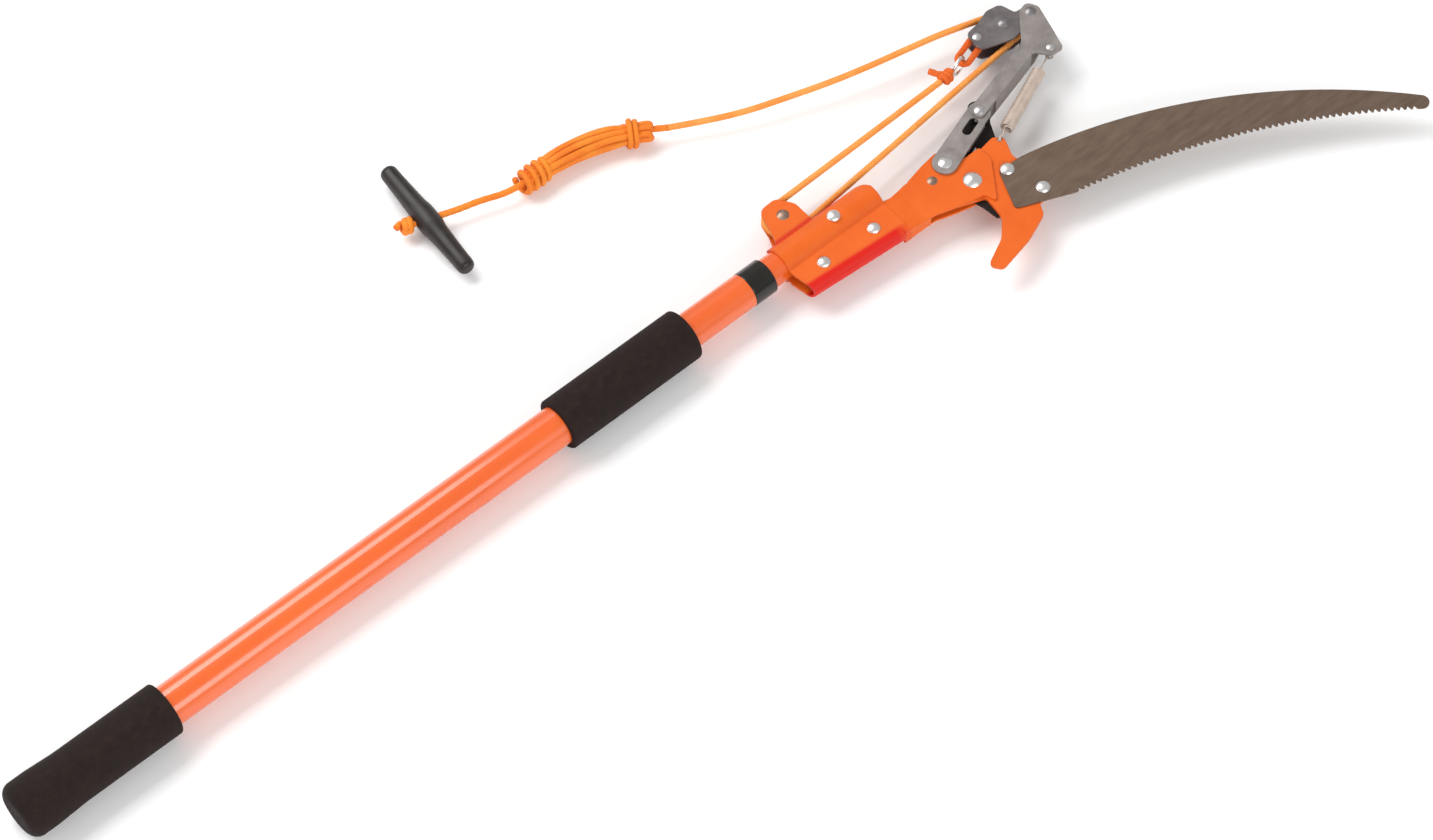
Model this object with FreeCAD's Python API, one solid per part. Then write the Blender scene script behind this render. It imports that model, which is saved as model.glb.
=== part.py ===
"""Telescoping pole saw: three nested tubes, a rope-worked pruning head and a curved saw blade.

Millimetres. The pole lies along +X with its butt end at the origin, the saw and hook point to -Y,
the rope side is +Y, and +Z is the side of the head that the lever and the saw are bolted on.
"""
import FreeCAD, Part
import os
from math import acos, atan2, cos, hypot, pi, radians, sin, tan

V = FreeCAD.Vector

# ---- pole -------------------------------------------------------------------------------
OUTER_R = 16.0            # outer tube, 32 mm
MIDDLE_R = 14.25          # middle tube, 28.5 mm
INNER_R = 12.5            # inner tube, 25 mm
WALL = 1.5                # wall of the outer and middle tubes
INNER_WALL = 1.2
OUTER_END = 612.0         # mouth of the outer tube
MIDDLE_END = 673.0        # mouth of the middle tube
COLLAR_LEN = 21.0
GRIP_R = 21.0
GRIP_FLARE_R = 22.3
BOTTOM_GRIP_LEN = 131.0
MID_GRIP = (491.0, 614.0)
MIDDLE_FOOT = 38.0        # lower end of the middle tube when the pole is closed
INNER_FOOT = 88.0         # lower end of the inner tube
PLUG_LEN = 34.0
PLUG_HEAD = 12.0
RUNNING_FIT = 0.05

# ---- head bracket -----------------------------------------------------------------------
SHEET = 2.0               # bracket sheet
SOCKET = (707.0, 802.0)   # folded socket round the inner tube
SOCKET_FIT = 0.05
FOLD_HALF = 7.5           # half thickness of the folded flange
NECK_HALF = 5.0           # half thickness where the walls close on the hook plate
NECK_START = 797.0        # the walls step in between these two
NECK_CLOSE = 818.0
FOLD_Y = (-30.0, -36.5)   # centre of the lower fold at each end of the socket
TOP_GAP = 3.2             # half width of the slit along the top of the socket
TUBE_BOLT = (762.0, 0.0)
FLANGE_BOLTS = [(732.0, -23.0), (781.0, -24.5)]
NECK_RIVET = (845.0, -20.0)
LEVER_PIVOT = (862.5, -15.0)
BLADE_PIVOT = (869.0, -39.0)
LOWER_SHEAVE = (737.0, 29.4)
HOOK_Z = (0.0, 3.0)       # thick fixed plate between the neck walls
BLADE_Z = (-2.7, -0.3)    # moving blade behind it

# ---- lever, block and spring ------------------------------------------------------------
LEVER_ANGLE = 19.5        # the links, from the pole's axis
DRIVE_REACH = 46.0        # lever pivot to drive pin
DRIVE_PIN_R = 2.5
LEVER_SWING = 80.0
BLADE_RATIO = 0.686       # blade turn for each turn of the lever
ARM_RIVET = (915.0, 3.5)
ARM_TIP = (1009.5, 47.5)
UPPER_SHEAVE = (987.0, 54.0)
BECKET = (962.0, 57.5)
SPRING_LOW = (911.0, -24.0)
SPRING_HIGH = (997.5, 12.0)
SPRING_R = 5.5
SPRING_WIRE = 1.4
SPRING_LIFT = 1.5         # height of the spring above the middle plane
COIL_START = 12.0
COIL_LEN = 62.0
LINK_Z = (5.3, 7.3)       # link plates, and their mirror images
ARM_Z = (7.3, 9.1)
BLOCK_Z = (5.5, 7.1)
ARM_LEAN = 15.5           # lower part of the arm, from the pole's axis

# ---- saw --------------------------------------------------------------------------------
SAW_Z = 3.0
SAW_THICK = 1.4
SAW_BOLTS = [(896.0, -49.0), (905.5, -79.0)]
SPINE = [(912.0, -47.0), (1057.0, -101.0), (1186.0, -207.0)]
TEETH = [(921.0, -98.5), (1054.5, -142.0), (1177.0, -215.5)]
SAW_TIP = (1186.5, -213.5)
SAW_ROOT = [(876.0, -79.5), (890.0, -46.0)]
TOOTH_PITCH = 5.0
TOOTH_DEPTH = 3.2

# ---- rope -------------------------------------------------------------------------------
ROPE_R = 2.5
SHEAVE_PITCH_R = 14.0     # rope centre round a sheave
SHEAVE_R = 13.4
HUB_HALF = 5.2

# Centres of the free rope, from the upper sheave to the hank, then from the hank to the toggle.
LEAD_POINTS = [(953.0, 80.0, -0.5), (919.0, 88.0, -1.5), (885.0, 96.0, -3.0), (851.0, 105.5, -4.5),
               (818.0, 117.0, -6.0), (787.0, 128.0, -7.5), (758.0, 142.0, -8.5), (731.0, 157.0, -9.0)]
TAIL_POINTS = [(614.0, 189.5, -9.5), (597.0, 191.5, -9.8), (579.0, 199.0, -10.0),
               (561.0, 203.5, -10.0), (545.0, 209.0, -10.0)]
HANK_PATH = [(731.0, 157.0, -9.0), (674.0, 185.0, -9.0), (614.0, 189.5, -9.5)]
HANK_R = 9.8
TOGGLE_MID = (537.0, 211.8, -10.0)
TOGGLE_LEN = 113.0
TOGGLE_TURN = -5.0        # from square to the pole
RING_CENTRE = (935.5, 49.3)
RING_R = 7.6
RING_WIRE_R = 1.4
KNOT_CENTRE = (921.5, 47.6)
KNOT_R = 6.0
STOP_KNOT_R = 5.6
STOP_KNOT_REACH = 25.0    # from the rope's end at the toggle to the knot behind it


def along(start, angle, reach):
    """Point at reach and angle (degrees) from start, in the plane of the head."""
    return (start[0] + reach * cos(radians(angle)), start[1] + reach * sin(radians(angle)))


def turned(point, centre, angle):
    """Point turned about centre by angle (degrees)."""
    dx, dy = point[0] - centre[0], point[1] - centre[1]
    c, s = cos(radians(angle)), sin(radians(angle))
    return (centre[0] + c * dx - s * dy, centre[1] + s * dx + c * dy)


def rod_x(radius, x0, x1):
    return Part.makeCylinder(radius, x1 - x0, V(x0, 0, 0), V(1, 0, 0))


def pin_z(radius, centre, z0, z1):
    return Part.makeCylinder(radius, z1 - z0, V(centre[0], centre[1], z0), V(0, 0, 1))


def outline(corners):
    """Closed wire through (x, y, radius) corners, each rounded with an arc of its radius."""
    edges = []
    firsts = []
    lasts = []
    count = len(corners)
    for i, (x, y, r) in enumerate(corners):
        p = V(x, y, 0)
        before = V(corners[i - 1][0], corners[i - 1][1], 0)
        after = V(corners[(i + 1) % count][0], corners[(i + 1) % count][1], 0)
        if r <= 0:
            firsts.append(p)
            lasts.append(p)
            continue
        a = (before - p).normalize()
        b = (after - p).normalize()
        half = a.getAngle(b) / 2
        back = r / tan(half)
        mid = p + (a + b).normalize() * (r / sin(half) - r)
        firsts.append(p + a * back)
        lasts.append(p + b * back)
        edges.append((i, Part.Arc(p + a * back, mid, p + b * back).toShape()))
    arcs = dict(edges)
    wire = []
    for i in range(count):
        if i in arcs:
            wire.append(arcs[i])
        start, end = lasts[i], firsts[(i + 1) % count]
        if (end - start).Length > 1e-6:
            wire.append(Part.makeLine(start, end))
    return Part.Wire(wire)


def plate(corners, z0, z1):
    """Flat plate of the rounded outline between two heights."""
    face = Part.Face(outline(corners))
    face.translate(V(0, 0, z0))
    return face.extrude(V(0, 0, z1 - z0))


def bar(p0, p1, r0, r1, z0, z1):
    """Flat bar with round ends of radius r0 and r1 joined by tangent sides."""
    dx, dy = p1[0] - p0[0], p1[1] - p0[1]
    length = hypot(dx, dy)
    lean = atan2(dy, dx)
    spread = pi / 2 - (r1 - r0) / length if r1 >= r0 else pi / 2 + (r0 - r1) / length
    spread = pi - spread
    up0 = V(p0[0] + r0 * cos(lean + spread), p0[1] + r0 * sin(lean + spread), z0)
    up1 = V(p1[0] + r1 * cos(lean + spread), p1[1] + r1 * sin(lean + spread), z0)
    low0 = V(p0[0] + r0 * cos(lean - spread), p0[1] + r0 * sin(lean - spread), z0)
    low1 = V(p1[0] + r1 * cos(lean - spread), p1[1] + r1 * sin(lean - spread), z0)
    back = V(p0[0] - r0 * cos(lean), p0[1] - r0 * sin(lean), z0)
    front = V(p1[0] + r1 * cos(lean), p1[1] + r1 * sin(lean), z0)
    wire = Part.Wire([Part.makeLine(low0, low1), Part.Arc(low1, front, up1).toShape(),
                      Part.makeLine(up1, up0), Part.Arc(up0, back, low0).toShape()])
    return Part.Face(wire).extrude(V(0, 0, z1 - z0))


def both_sides(shape):
    """The shape and its mirror image below the head's middle plane."""
    return [shape, shape.mirror(V(0, 0, 0), V(0, 0, 1))]


def joined(shapes):
    whole = shapes[0]
    for other in shapes[1:]:
        whole = whole.fuse(other)
    return whole.removeSplitter()


def without(shape, tools):
    for tool in tools:
        shape = shape.cut(tool)
    return shape


def swept(edges, radius, start, way):
    """Round tube along the edges."""
    path = Part.Wire(edges)
    ring = Part.Wire([Part.makeCircle(radius, start, way)])
    return path.makePipeShell([ring], True, True)


def rope(points, name):
    """Rope of straight runs joined by tangent arcs; prints the radii and checks the volume."""
    pts = [V(*p) for p in points]
    edges = []
    here = pts[0]
    radii = []
    for i in range(1, len(pts) - 1):
        a = (pts[i - 1] - pts[i]).normalize()
        b = (pts[i + 1] - pts[i]).normalize()
        turn = pi - a.getAngle(b)
        run = min((pts[i] - pts[i - 1]).Length, (pts[i + 1] - pts[i]).Length)
        back = 0.45 * run
        radius = back / tan(turn / 2)
        radii.append(round(radius, 1))
        mid = pts[i] + (a + b).normalize() * (hypot(radius, back) - radius)
        edges.append(Part.makeLine(here, pts[i] + a * back))
        edges.append(Part.Arc(pts[i] + a * back, mid, pts[i] + b * back).toShape())
        here = pts[i] + b * back
    edges.append(Part.makeLine(here, pts[-1]))
    length = sum(e.Length for e in edges)
    tube = swept(edges, ROPE_R, pts[0], pts[1] - pts[0])
    ratio = tube.Volume / (pi * ROPE_R ** 2 * length)
    print(name, "arc radii", radii, "length", round(length, 1), "volume ratio", round(ratio, 4))
    return tube


def rope_run(p0, p1):
    """One straight stretch of rope in the middle plane."""
    start, end = V(p0[0], p0[1], 0), V(p1[0], p1[1], 0)
    return Part.makeCylinder(ROPE_R, (end - start).Length, start, end - start)


def rope_wrap(centre, start_angle, end_angle):
    """Rope bent round a sheave from one angle to the other, anticlockwise (degrees)."""
    mid_angle = (start_angle + end_angle) / 2
    angles = (start_angle, mid_angle, end_angle)
    p0, pm, p1 = [V(*along(centre, a, SHEAVE_PITCH_R), 0) for a in angles]
    way = V(-sin(radians(start_angle)), cos(radians(start_angle)), 0)
    return swept([Part.Arc(p0, pm, p1).toShape()], ROPE_R, p0, way)


# ---- the pole ---------------------------------------------------------------------------
def tube(radius, wall, x0, x1):
    return rod_x(radius, x0, x1).cut(rod_x(radius - wall, x0 - 1, x1 + 1))


def bottom_grip():
    """Foam sleeve with a flared, domed closed end."""
    skin = 3.0
    dome = 9.0
    profile = [Part.makeLine(V(0, 0, 0), V(0, 13.0, 0)),
               Part.Arc(V(0, 13.0, 0), V(dome * 0.3, 19.6, 0), V(dome, GRIP_FLARE_R, 0)).toShape(),
               Part.makeLine(V(dome, GRIP_FLARE_R, 0), V(22.0, GRIP_FLARE_R, 0)),
               Part.makeLine(V(22.0, GRIP_FLARE_R, 0), V(46.0, GRIP_R, 0)),
               Part.makeLine(V(46.0, GRIP_R, 0), V(BOTTOM_GRIP_LEN - 2, GRIP_R, 0)),
               Part.Arc(V(BOTTOM_GRIP_LEN - 2, GRIP_R, 0), V(BOTTOM_GRIP_LEN - 0.6, GRIP_R - 0.6, 0),
                        V(BOTTOM_GRIP_LEN, GRIP_R - 2, 0)).toShape(),
               Part.makeLine(V(BOTTOM_GRIP_LEN, GRIP_R - 2, 0), V(BOTTOM_GRIP_LEN, OUTER_R, 0)),
               Part.makeLine(V(BOTTOM_GRIP_LEN, OUTER_R, 0), V(skin, OUTER_R, 0)),
               Part.makeLine(V(skin, OUTER_R, 0), V(skin, 0, 0)),
               Part.makeLine(V(skin, 0, 0), V(0, 0, 0))]
    return Part.Face(Part.Wire(profile)).revolve(V(0, 0, 0), V(1, 0, 0), 360)


def mid_grip():
    """Foam sleeve round the mouth of the outer tube."""
    x0, x1 = MID_GRIP
    body = rod_x(GRIP_R, x0, x1)
    rims = [e for e in body.Edges if e.Curve.TypeId == "Part::GeomCircle"]
    return body.makeFillet(1.8, rims).cut(rod_x(OUTER_R, x0 - 1, x1 + 1))


def end_plug():
    """Plug that closes the lower end of the outer tube."""
    return rod_x(OUTER_R - WALL, 3.0, 24.0)


def guide_plug(radius, bore, shank, foot):
    """Plastic guide on a sliding tube's lower end: a running head and a shank inside the tube."""
    head = rod_x(radius, foot - PLUG_HEAD, foot)
    stem = rod_x(shank, foot, foot + PLUG_LEN)
    return joined([head, stem]).cut(rod_x(bore, foot - PLUG_HEAD - 1, foot + PLUG_LEN + 1))


def lock_collar():
    """Plain twist collar at the mouth of the middle tube."""
    x0 = MIDDLE_END
    body = rod_x(MIDDLE_R + 0.15, x0, x0 + COLLAR_LEN)
    rims = [e for e in body.Edges if e.Curve.TypeId == "Part::GeomCircle"]
    body = body.makeFillet(0.8, rims)
    return body.cut(rod_x(INNER_R + 0.06, x0 - 1, x0 + COLLAR_LEN + 1))


# ---- the bracket ------------------------------------------------------------------------
def fold_solid(radius, half, fold_radius, x0, x1):
    """Solid round the tube and the flange below it, out to the given distances."""
    slope = (FOLD_Y[1] - FOLD_Y[0]) / (SOCKET[1] - SOCKET[0])
    y0, y1 = (FOLD_Y[0] + slope * (x - SOCKET[0]) for x in (x0, x1))
    web = plate([(x0, 0, 0), (x0, y0, 0), (x1, y1, 0), (x1, 0, 0)], -half, half)
    lean = V(x1 - x0, y1 - y0, 0)
    start = V(x0, y0, 0) - lean * 0.1
    lip = Part.makeCylinder(fold_radius, lean.Length * 1.2, start, lean)
    ends = Part.makeBox(x1 - x0, 100, 60, V(x0, -60, -30))
    return joined([rod_x(radius, x0, x1), web, lip]).common(ends)


def neck_outline():
    """Side view of a neck wall."""
    return [(NECK_START, -9.5, 0), (809.0, -11.5, 4), (829.0, -8.6, 30), (848.0, -4.5, 20), (866.0, -2.0, 7),
            (877.0, -20.5, 4), (893.0, -20.5, 2), (893.0, -34.0, 3), (870.0, -66.0, 2), (866.5, -55.5, 2),
            (844.5, -50.3, 10), (826.0, -44.6, 12), (NECK_START, -43.2, 0)]


def neck_wall():
    """One neck wall, stepping in from the socket's width to the hook plate."""
    end = 900.0
    inner_close = NECK_HALF - SHEET
    profile = [(NECK_START, FOLD_HALF - SHEET), (NECK_CLOSE, inner_close), (end, inner_close),
               (end, NECK_HALF), (NECK_CLOSE, NECK_HALF), (NECK_START, FOLD_HALF)]
    ring = [V(x, -75, z) for x, z in profile]
    sheet = Part.Face(Part.makePolygon(ring + ring[:1])).extrude(V(0, 90, 0))
    return sheet.common(plate(neck_outline(), 0, 10))


def neck_keel():
    """Folded lower edge that joins the neck walls between the socket and the throat."""
    end = NECK_CLOSE + 4
    profile = [(NECK_START, FOLD_HALF), (NECK_CLOSE, NECK_HALF), (end, NECK_HALF),
               (end, -NECK_HALF), (NECK_CLOSE, -NECK_HALF), (NECK_START, -FOLD_HALF)]
    ring = [V(x, -60, z) for x, z in profile]
    space = Part.Face(Part.makePolygon(ring + ring[:1])).extrude(V(0, 60, 0))
    strip = plate([(NECK_START, -43.2 + SHEET, 0), (NECK_START, -43.2, 0), (end, -44.4, 0),
                   (end, -44.4 + SHEET, 0)], -FOLD_HALF, FOLD_HALF)
    return strip.common(space)


def socket_side():
    """Side view of the socket: square at the top, rounded at the lower corner of its mouth."""
    x0, x1 = SOCKET[0] - 0.5, SOCKET[1] + 1.0
    return plate([(x0, 30.0, 0), (x0, -14.0, 20), (711.0, -39.3, 8), (x1, -46.5, 0), (x1, 30.0, 0)],
                 -20, 20)


def sheave_ears():
    """Two ears that stand up from the socket and hold the lower sheave."""
    corners = [(713.0, 6.0, 0), (721.5, 28.0, 10), (725.0, 43.5, 8), (742.5, 44.5, 8), (751.0, 31.0, 8),
               (751.0, 6.0, 0)]
    return both_sides(plate(corners, FOLD_HALF - SHEET, FOLD_HALF))


def bracket():
    """One folded sheet: a U round the tube and flange, two ears for the lower sheave and the
    two neck walls that close on the hook plate."""
    x0, x1 = SOCKET
    outer = fold_solid(INNER_R + SHEET, FOLD_HALF, FOLD_HALF, x0, x1)
    inner = fold_solid(INNER_R + SOCKET_FIT, FOLD_HALF - SHEET, FOLD_HALF - SHEET, x0 - 5, x1 + 5)
    socket = outer.cut(inner).common(socket_side())
    end_cut = plate([(791.0, 40.0, 0), (791.0, 15.0, 0), (799.0, 9.0, 6), (808.0, -9.0, 0),
                     (830.0, -9.0, 0), (830.0, 40.0, 0)], -20, 20)
    slit = Part.makeBox(x1 - x0 + 20, 30, 2 * TOP_GAP, V(x0 - 10, 5, -TOP_GAP))
    tube_space = rod_x(INNER_R + SOCKET_FIT, x0 - 5, x1 + 5)
    shell = joined([socket, neck_keel()] + sheave_ears() + both_sides(neck_wall()))
    cuts = [end_cut, slit, tube_space]
    holes = [(LOWER_SHEAVE, 4.0), (NECK_RIVET, 2.5), (LEVER_PIVOT, 4.0), (BLADE_PIVOT, 5.0)]
    holes += [(centre, 3.0) for centre in FLANGE_BOLTS + [TUBE_BOLT]]
    return without(shell, cuts + [pin_z(radius, centre, -20, 20) for centre, radius in holes])


def hook_plate():
    """Thick fixed plate: clamped between the neck walls, carries the saw and ends in the hook."""
    z0, z1 = HOOK_Z
    corners = [(826.0, -14.0, 4), (850.0, -8.0, 20), (866.0, -6.0, 5), (877.5, -24.0, 5),
               (908.0, -19.0, 4), (915.0, -25.0, 5), (908.0, -42.0, 8), (914.0, -60.0, 10),
               (914.0, -86.0, 7), (894.0, -87.5, 5), (889.5, -97.0, 6), (866.0, -106.5, 40),
               (833.0, -113.5, 5), (826.0, -104.0, 4), (850.0, -92.5, 20), (864.0, -78.0, 14),
               (866.5, -57.0, 3), (830.0, -43.0, 4)]
    holes = [(NECK_RIVET, 2.5), (LEVER_PIVOT, 4.0), (BLADE_PIVOT, 5.0), (SPRING_LOW, 2.2)]
    holes += [(centre, 3.0) for centre in SAW_BOLTS]
    cuts = [pin_z(radius, centre, z0 - 1, z1 + 1) for centre, radius in holes]
    return without(plate(corners, z0, z1), cuts)


def drive_pin_centre():
    return along(LEVER_PIVOT, LEVER_ANGLE - 2.5, DRIVE_REACH)


def drive_path(turn):
    """Drive pin centre seen from the cutting blade when the lever has turned by turn degrees."""
    pin = turned(drive_pin_centre(), LEVER_PIVOT, turn)
    return turned(pin, BLADE_PIVOT, -BLADE_RATIO * turn)


def blade_slot(z0, z1):
    """Curved slot that the drive pin runs along as the lever swings."""
    half = DRIVE_PIN_R + 0.35
    stops = [V(*drive_path(t), z0) for t in (0, LEVER_SWING / 2, LEVER_SWING)]
    arc = Part.ArcOfCircle(*stops)
    near = [arc.Center + (p - arc.Center).normalize() * (arc.Radius - half) for p in stops]
    far = [arc.Center + (p - arc.Center).normalize() * (arc.Radius + half) for p in stops]
    first_tip = stops[0] + (stops[0] - stops[1]).normalize() * half
    last_tip = stops[2] + (stops[2] - stops[1]).normalize() * half
    edges = [Part.Arc(*near).toShape(), Part.Arc(near[2], last_tip, far[2]).toShape(),
             Part.Arc(*reversed(far)).toShape(), Part.Arc(far[0], first_tip, near[0]).toShape()]
    return Part.Face(Part.Wire(edges)).extrude(V(0, 0, z1 - z0))


def cutting_blade():
    """Curved pruning blade behind the hook plate, with a cam slot and a relief for the lever rivet."""
    z0, z1 = BLADE_Z
    elbow = (898.0, -27.0)
    tail_end = drive_path(LEVER_SWING)
    nose = plate([(866.0, -26.0, 3), (846.0, -26.0, 14), (823.5, -33.5, 2), (824.5, -37.5, 1.5),
                  (843.0, -43.5, 30), (857.5, -48.5, 6), (861.0, -60.0, 6), (863.0, -77.0, 2),
                  (876.0, -66.0, 8), (884.0, -40.0, 6)], z0, z1)
    body = joined([pin_z(15.0, BLADE_PIVOT, z0, z1), bar(BLADE_PIVOT, elbow, 12.0, 8.8, z0, z1),
                   bar(elbow, tail_end, 8.8, 6.6, z0, z1), nose])
    full = BLADE_RATIO * LEVER_SWING
    relief = [pin_z(4.5, turned(LEVER_PIVOT, BLADE_PIVOT, -full * part), z0 - 1, z1 + 1)
              for part in (0.76, 0.84, 0.92, 1.0)]
    cuts = [blade_slot(z0 - 1, z1 + 1), pin_z(5.05, BLADE_PIVOT, z0 - 1, z1 + 1)]
    return without(body, cuts + relief)


# ---- the saw ----------------------------------------------------------------------------
def arc_circle(points):
    """Centre and radius of the circle through three points."""
    arc = Part.ArcOfCircle(*[V(x, y, 0) for x, y in points])
    return arc.Center, arc.Radius


def saw_blade():
    """Curved saw blade: arc-shaped back, toothed inner edge and a squared root with two holes."""
    s0, s1, s2 = [V(x, y, SAW_Z) for x, y in SPINE]
    t0, t1, t2 = [V(x, y, SAW_Z) for x, y in TEETH]
    root_corner, root_top = [V(x, y, SAW_Z) for x, y in SAW_ROOT]
    tip = V(*SAW_TIP, SAW_Z)
    wire = Part.Wire([Part.Arc(s0, s1, s2).toShape(), Part.Arc(s2, tip, t2).toShape(),
                      Part.Arc(t2, t1, t0).toShape(), Part.makeLine(t0, root_corner),
                      Part.makeLine(root_corner, root_top), Part.makeLine(root_top, s0)])
    body = Part.Face(wire).extrude(V(0, 0, SAW_THICK))
    upright = [e for e in body.Edges
               if len(e.Vertexes) == 2 and abs(e.Vertexes[0].Z - e.Vertexes[1].Z) > 1
               and min(hypot(e.Vertexes[0].X - c.x, e.Vertexes[0].Y - c.y)
                       for c in (root_corner, root_top)) < 0.1]
    body = body.makeFillet(3.0, upright)
    centre, radius = arc_circle(TEETH)
    first = atan2(t0.y - centre.y, t0.x - centre.x)
    last = atan2(t2.y - centre.y, t2.x - centre.x)
    count = int(abs(last - first) * radius / TOOTH_PITCH) - 1
    step = (last - first) / (count + 1)
    gullets = []
    for i in range(count):
        a = first + step * (i + 0.5)
        b = a + step * 0.35
        c = a + step * 0.95
        corners = [(centre.x + cos(k) * r, centre.y + sin(k) * r)
                   for k, r in ((a, radius - 1.0), (b, radius + TOOTH_DEPTH), (c, radius - 1.0))]
        ring = [V(x, y, SAW_Z - 1) for x, y in corners]
        gullets.append(Part.Face(Part.makePolygon(ring + ring[:1])).extrude(V(0, 0, SAW_THICK + 2)))
    body = body.cut(gullets)
    return without(body, [pin_z(3.0, centre, 0, 8) for centre in SAW_BOLTS])


# ---- fasteners --------------------------------------------------------------------------
def dome_head(radius, height, centre, z0, way=1):
    """Low round screw or rivet head standing on z0."""
    ball_r = (radius ** 2 + height ** 2) / (2 * height)
    ball = Part.makeSphere(ball_r, V(centre[0], centre[1], z0 + way * (height - ball_r)))
    low, high = sorted((z0, z0 + way * (height + 1)))
    return ball.common(pin_z(radius + 1, centre, low, high))


def hex_nut(across, height, centre, z0, way=-1):
    """Plain hexagon nut on the face z0, standing the given way."""
    r = across / 3 ** 0.5
    pts = [V(*along(centre, 60 * i, r), z0) for i in range(7)]
    return Part.Face(Part.makePolygon(pts)).extrude(V(0, 0, way * height))


def screw(centre, radius, head_r, top, bottom, head_h=2.4):
    """Domed screw through everything from top to bottom, with a nut under the bottom face."""
    shank = pin_z(radius, centre, bottom - 5.0, top)
    bore = pin_z(radius, centre, bottom - 9, bottom + 1)
    return [joined([shank, dome_head(head_r, head_h, centre, top)]),
            hex_nut(2 * radius + 4.4, 3.6, centre, bottom).cut(bore)]


def bracket_bolts():
    parts = []
    for centre in FLANGE_BOLTS:
        parts.append(screw(centre, 2.95, 5.2, FOLD_HALF, -FOLD_HALF))
    reach = INNER_R + SHEET + 0.3
    parts.append(screw(TUBE_BOLT, 2.95, 5.2, reach, -reach))
    bolts = Part.makeCompound([p[0] for p in parts])
    nuts = Part.makeCompound([p[1] for p in parts])
    return bolts, nuts


def rivet(centre, radius, head_r, top, bottom, head_h=1.6):
    return joined([pin_z(radius, centre, bottom, top), dome_head(head_r, head_h, centre, top),
                   dome_head(head_r, head_h, centre, bottom, -1)])


def saw_screws():
    """Domed screws through the saw, threaded into the hook plate and flush behind it."""
    top = SAW_Z + SAW_THICK
    return Part.makeCompound([joined([pin_z(2.95, centre, 0, top), dome_head(5.6, 2.6, centre, top)])
                              for centre in SAW_BOLTS])


def arm_rivets():
    """A short rivet on each side, so the moving blade's tail can pass between them."""
    front = pin_z(2.98, ARM_RIVET, LINK_Z[0], ARM_Z[1])
    return Part.makeCompound(both_sides(joined([front, dome_head(4.3, 1.5, ARM_RIVET, ARM_Z[1])])))


def drive_pin():
    """Pin in the back link that pushes the blade's tail, with a flat head over the slot."""
    centre = drive_pin_centre()
    return joined([pin_z(DRIVE_PIN_R - 0.02, centre, -LINK_Z[1], 1.0), pin_z(3.5, centre, 0.0, 1.2),
                   dome_head(3.0, 0.9, centre, -LINK_Z[1], -1)])


def spring_pin():
    """Pin in the arm's ear for the spring's upper hook, with a retaining head below the hook."""
    shank = pin_z(1.98, SPRING_HIGH, -2.6, ARM_Z[1])
    return joined([shank, dome_head(3.4, 1.2, SPRING_HIGH, ARM_Z[1]), pin_z(3.2, SPRING_HIGH, -3.6, -2.6)])


# ---- sheaves, block and lever -----------------------------------------------------------
def sheave(centre):
    """Grooved plastic wheel with a long hub."""
    wheel = pin_z(SHEAVE_R, centre, -4.0, 4.0).fuse(pin_z(6.5, centre, -HUB_HALF, HUB_HALF))
    groove = Part.makeTorus(SHEAVE_PITCH_R, ROPE_R + 0.3, V(centre[0], centre[1], 0), V(0, 0, 1))
    mouth = pin_z(SHEAVE_R + 2, centre, -ROPE_R - 0.3, ROPE_R + 0.3).cut(
        pin_z(SHEAVE_PITCH_R, centre, -9, 9))
    return without(wheel.removeSplitter(), [groove, mouth, pin_z(4.05, centre, -9, 9)])


def lever_links():
    """Two side plates from the lever pivot to the arm. The front one has a window and a lip."""
    z0, z1 = LINK_Z
    body = bar(LEVER_PIVOT, ARM_RIVET, 10.0, 9.0, z0, z1)
    window = bar(along(LEVER_PIVOT, LEVER_ANGLE - 1, 34.5), along(LEVER_PIVOT, LEVER_ANGLE - 1, 45.0),
                 3.7, 3.7, z0 - 1, z1 + 1)
    lip = Part.makeBox(27.0, 1.7, z1 - HOOK_Z[1] - 0.3, V(20.0, -9.7, HOOK_Z[1] + 0.3))
    lip.rotate(V(0, 0, 0), V(0, 0, 1), LEVER_ANGLE)
    lip.translate(V(*LEVER_PIVOT, 0))
    holes = [pin_z(4.0, LEVER_PIVOT, 0, 9), pin_z(3.0, ARM_RIVET, 0, 9)]
    front = without(joined([body, lip]), [window] + holes)
    back = without(body, holes + [pin_z(DRIVE_PIN_R, drive_pin_centre(), 0, 9)])
    return front, back.mirror(V(0, 0, 0), V(0, 0, 1))


def on_arm(reach, side):
    """Point at reach along the arm from its rivet and side to the left of it."""
    foot = along(ARM_RIVET, ARM_LEAN, reach)
    return along(foot, ARM_LEAN + 90, side)


def lever_arm():
    """Channel-shaped arm: two walls joined by a web, the front wall with an ear for the spring."""
    z0, z1 = ARM_Z
    foot = [(*on_arm(-6.0, 6.8), 4), (*on_arm(-6.0, -5.5), 4)]
    head = [(1017.5, 47.0, 6), (1012.5, 56.0, 5), (1003.0, 53.5, 6), (*on_arm(72.0, 6.6), 12)]
    ear = [(*on_arm(70.0, -5.5), 3), (993.0, 5.5, 3), (1004.5, 4.5, 4), (1011.0, 25.0, 20)]
    plain = [(*on_arm(74.0, -5.5), 14), (1010.0, 28.0, 10)]
    front = plate(foot + ear + head, z0, z1)
    back = plate(foot + plain + head, -z1, -z0)
    web = plate([(*on_arm(16.0, -3.7), 0), (*on_arm(16.0, -5.5), 0), (*on_arm(68.0, -5.5), 0),
                 (*on_arm(68.0, -3.7), 0)], -z1, z1)
    cuts = [pin_z(3.0, ARM_RIVET, -20, 20), pin_z(3.5, ARM_TIP, -20, 20), pin_z(2.0, SPRING_HIGH, 0, 20)]
    return without(joined([front, back, web]), cuts)


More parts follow.
